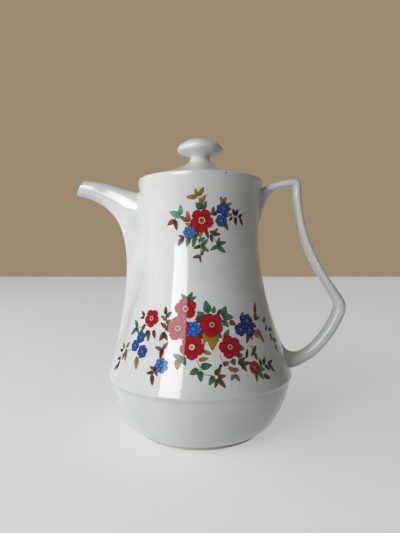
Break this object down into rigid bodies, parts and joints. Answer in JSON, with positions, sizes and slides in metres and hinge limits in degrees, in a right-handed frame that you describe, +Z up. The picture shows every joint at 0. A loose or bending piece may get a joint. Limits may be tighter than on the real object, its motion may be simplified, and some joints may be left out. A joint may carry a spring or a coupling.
{
  "type": "coffee pot",
  "caption": "Tall waisted porcelain coffee pot with a ridged belly, a curved spout, an angular loop handle and a lift-off lid with a mushroom knob.",
  "frame": {"origin": "centre of the foot ring's standing edge, on the table", "axes": "+Z up along the pot's axis; -X towards the spout; +X towards the handle; the plane y = 0 cuts the spout and the handle in half"},
  "size_m": [0.2076, 0.14, 0.2192],
  "materials": {
    "porcelain": "clear gloss glaze over white porcelain",
    "biscuit": "matt unglazed standing edge"
  },
  "bodies": {
    "pot": {"pot_body": "porcelain", "foot_ring": "biscuit", "spout": "porcelain", "handle": "porcelain"},
    "lid": {"lid_cover": "porcelain", "lid_flange": "porcelain", "lid_knob": "porcelain"}
  },
  "joints": [
    {"name": "lid_lift", "type": "slide", "parent": "pot", "child": "lid", "axis": [0, 0, 1], "range_m": [0, 0.06]}
  ]
}
